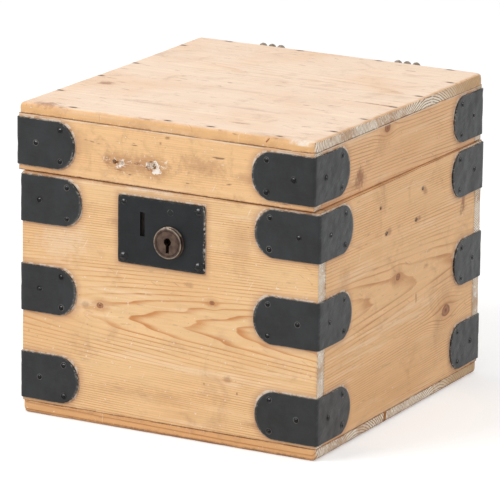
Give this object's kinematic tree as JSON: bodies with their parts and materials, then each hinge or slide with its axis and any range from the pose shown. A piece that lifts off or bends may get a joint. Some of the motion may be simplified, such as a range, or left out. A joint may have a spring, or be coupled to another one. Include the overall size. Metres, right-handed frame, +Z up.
{
  "type": "metal-bound box",
  "caption": "Square pine box with a hinged lid, nailed iron corner straps, two back hinges and a front lock with a raised round keyhole boss.",
  "frame": {"origin": "middle of the box's underside, at the middle of its width and depth", "axes": "+Z up, the front with the lock faces -Y, +X to the right of someone who faces the front"},
  "size_m": [0.3563, 0.3878, 0.333],
  "materials": {
    "body_pine": "aged oiled pine",
    "lid_pine": "aged pale pine",
    "strap_iron": "hammered, worn dark",
    "nail_iron": "forged dark",
    "hinge_iron": "forged, slightly rusty",
    "lock_iron": "worn dark",
    "screw_iron": "worn dark",
    "boss_bronze": "dark brown, worn bright rim",
    "spring_steel": "blued"
  },
  "bodies": {
    "box": {"front_board": "body_pine", "back_board": "body_pine", "left_board": "body_pine", "right_board": "body_pine", "bottom_front_board": "body_pine", "bottom_rear_board": "body_pine", "upper_strap_front_left": "strap_iron", "upper_strap_front_right": "strap_iron", "upper_strap_back_left": "strap_iron", "upper_strap_back_right": "strap_iron", "middle_strap_front_left": "strap_iron", "middle_strap_front_right": "strap_iron", "middle_strap_back_left": "strap_iron", "middle_strap_back_right": "strap_iron", "lower_strap_front_left": "strap_iron", "lower_strap_front_right": "strap_iron", "lower_strap_back_left": "strap_iron", "lower_strap_back_right": "strap_iron", "body_strap_nails": "nail_iron", "body_corner_brads": "nail_iron", "bottom_brads": "nail_iron", "body_hinge_nails": "nail_iron", "hinge_body_leaf_left": "hinge_iron", "hinge_body_leaf_right": "hinge_iron", "hinge_pin_left": "hinge_iron", "hinge_pin_right": "hinge_iron", "lock_plate": "lock_iron", "lock_screws": "screw_iron", "keyhole_boss": "boss_bronze", "lock_case": "lock_iron", "bolt_guides": "lock_iron", "spring_post": "lock_iron", "bolt_spring": "spring_steel", "key_ward": "lock_iron"},
    "lid": {"lid_front_rail": "lid_pine", "lid_back_rail": "lid_pine", "lid_left_rail": "lid_pine", "lid_right_rail": "lid_pine", "lid_top_board": "lid_pine", "lid_strap_front_left": "strap_iron", "lid_strap_front_right": "strap_iron", "lid_strap_back_left": "strap_iron", "lid_strap_back_right": "strap_iron", "lid_strap_nails": "nail_iron", "lid_corner_brads": "nail_iron", "lid_top_brads": "nail_iron", "lid_hinge_nails": "nail_iron", "hinge_lid_leaf_left": "hinge_iron", "hinge_lid_leaf_right": "hinge_iron"},
    "bolt": {"lock_bolt": "lock_iron"}
  },
  "joints": [
    {"name": "lid_hinge", "type": "hinge", "parent": "box", "child": "lid", "pos_m": [0, 0.19055, 0.2586], "axis": [-1, 0, 0], "range_deg": [0, 170]},
    {"name": "bolt_slide", "type": "slide", "parent": "box", "child": "bolt", "axis": [-1, 0, 0], "range_m": [0, 0.012]}
  ]
}
